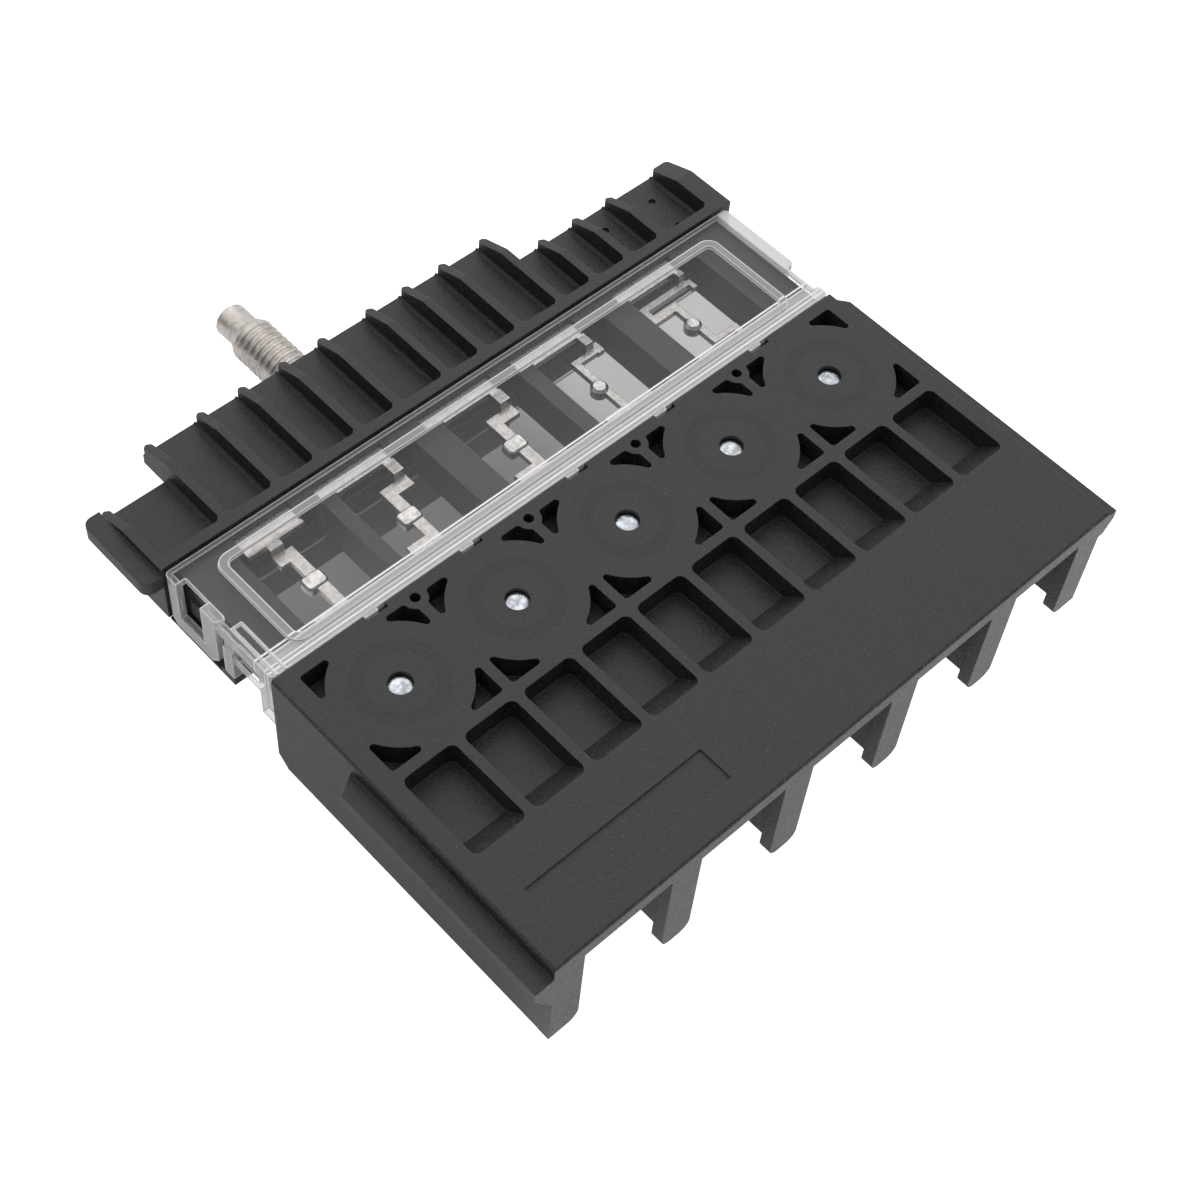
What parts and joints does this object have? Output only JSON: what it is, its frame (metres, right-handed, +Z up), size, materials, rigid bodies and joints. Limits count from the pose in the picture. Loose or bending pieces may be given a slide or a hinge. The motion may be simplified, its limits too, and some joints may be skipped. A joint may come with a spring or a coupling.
{
  "type": "fuse block",
  "caption": "Battery fuse block: a flat ribbed black plate with studs for cable lugs, fuse links on a bus bar under a clear latched cover, and a threaded battery stud at the rear.",
  "frame": {"origin": "on the axis of the middle output stud, in the plane where the cable terminals bear on the bus bar", "axes": "+X along the row of output studs, -Y towards the cable exits, +Y towards the battery stud, +Z up through the top plate and the covers"},
  "size_m": [0.0898, 0.0951, 0.0178],
  "materials": {
    "housing": "fine-grained black glass-filled moulding",
    "tinned_sheet": "bright tin-plated stamped sheet",
    "tin": "bright tin",
    "stud_steel": "warm silver plated steel",
    "clear_cover": "clear glossy moulding"
  },
  "bodies": {
    "base": {"housing": "housing", "bus_bar": "tinned_sheet", "battery_stud": "stud_steel", "output_stud_1": "stud_steel", "output_stud_2": "stud_steel", "output_stud_3": "stud_steel", "output_stud_4": "stud_steel", "output_stud_5": "stud_steel", "fuse_pellet_1": "tin", "fuse_pellet_2": "tin", "fuse_pellet_3": "tin", "fuse_pellet_4": "tin", "fuse_pellet_5": "tin"},
    "upper_cover": {"top_cover": "clear_cover"},
    "lower_cover": {"bottom_cover": "clear_cover"}
  },
  "joints": [
    {"name": "upper_cover_lift", "type": "slide", "parent": "base", "child": "upper_cover", "axis": [0, 0, 1], "range_m": [0, 0.02]},
    {"name": "lower_cover_drop", "type": "slide", "parent": "base", "child": "lower_cover", "axis": [0, 0, -1], "range_m": [0, 0.02]}
  ]
}
